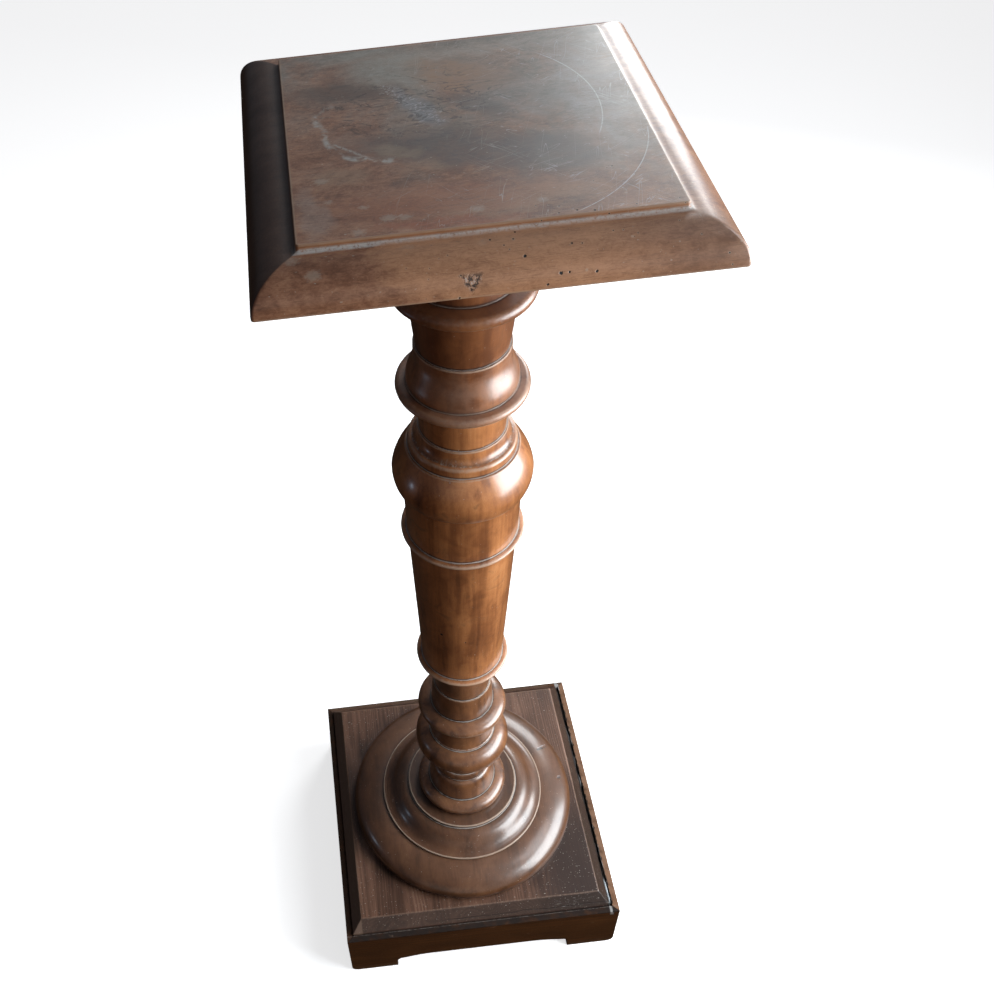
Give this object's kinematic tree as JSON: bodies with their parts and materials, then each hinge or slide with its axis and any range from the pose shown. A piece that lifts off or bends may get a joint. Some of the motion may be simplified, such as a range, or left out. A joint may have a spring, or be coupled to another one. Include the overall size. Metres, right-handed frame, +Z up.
{
  "type": "pedestal column stand",
  "caption": "Tall pedestal stand: a moulded square top on a turned, tapering column, stepped round base discs and a square plinth on bracket feet.",
  "frame": {"origin": "on the floor under the middle of the plinth frame", "axes": "+X to the right along the front rail, +Y towards the back, +Z up"},
  "size_m": [0.3236, 0.3202, 1.028],
  "materials": {
    "plinth_rails": "dark brown, satin",
    "glue_blocks": "unfinished softwood",
    "plinth_board": "dark walnut, worn satin polish",
    "base_discs": "walnut, glossy polish",
    "column_foot": "walnut, glossy polish",
    "column_shaft": "orange-brown walnut, glossy polish",
    "column_capital": "walnut, glossy polish",
    "capital_plate": "dark walnut, plain",
    "top_board": "faded walnut field with a polished moulding",
    "screws": "plain steel, dulled"
  },
  "bodies": {
    "root": {"plinth_rail_front": "plinth_rails", "plinth_rail_right": "plinth_rails", "plinth_rail_back": "plinth_rails", "plinth_rail_left": "plinth_rails", "corner_block_front_left": "glue_blocks", "corner_block_front_right": "glue_blocks", "corner_block_back_right": "glue_blocks", "corner_block_back_left": "glue_blocks", "plinth_board": "plinth_board", "base_torus_disc": "base_discs", "base_step_disc": "base_discs", "column_foot": "column_foot", "tenon_wedge": "glue_blocks", "column_shaft": "column_shaft", "column_capital": "column_capital", "capital_plate": "capital_plate", "top_board": "top_board", "plate_screw_1": "screws", "plate_screw_2": "screws", "plate_screw_3": "screws", "plate_screw_4": "screws", "base_screw_1": "screws", "base_screw_2": "screws", "base_screw_3": "screws", "base_screw_4": "screws"}
  },
  "joints": []
}
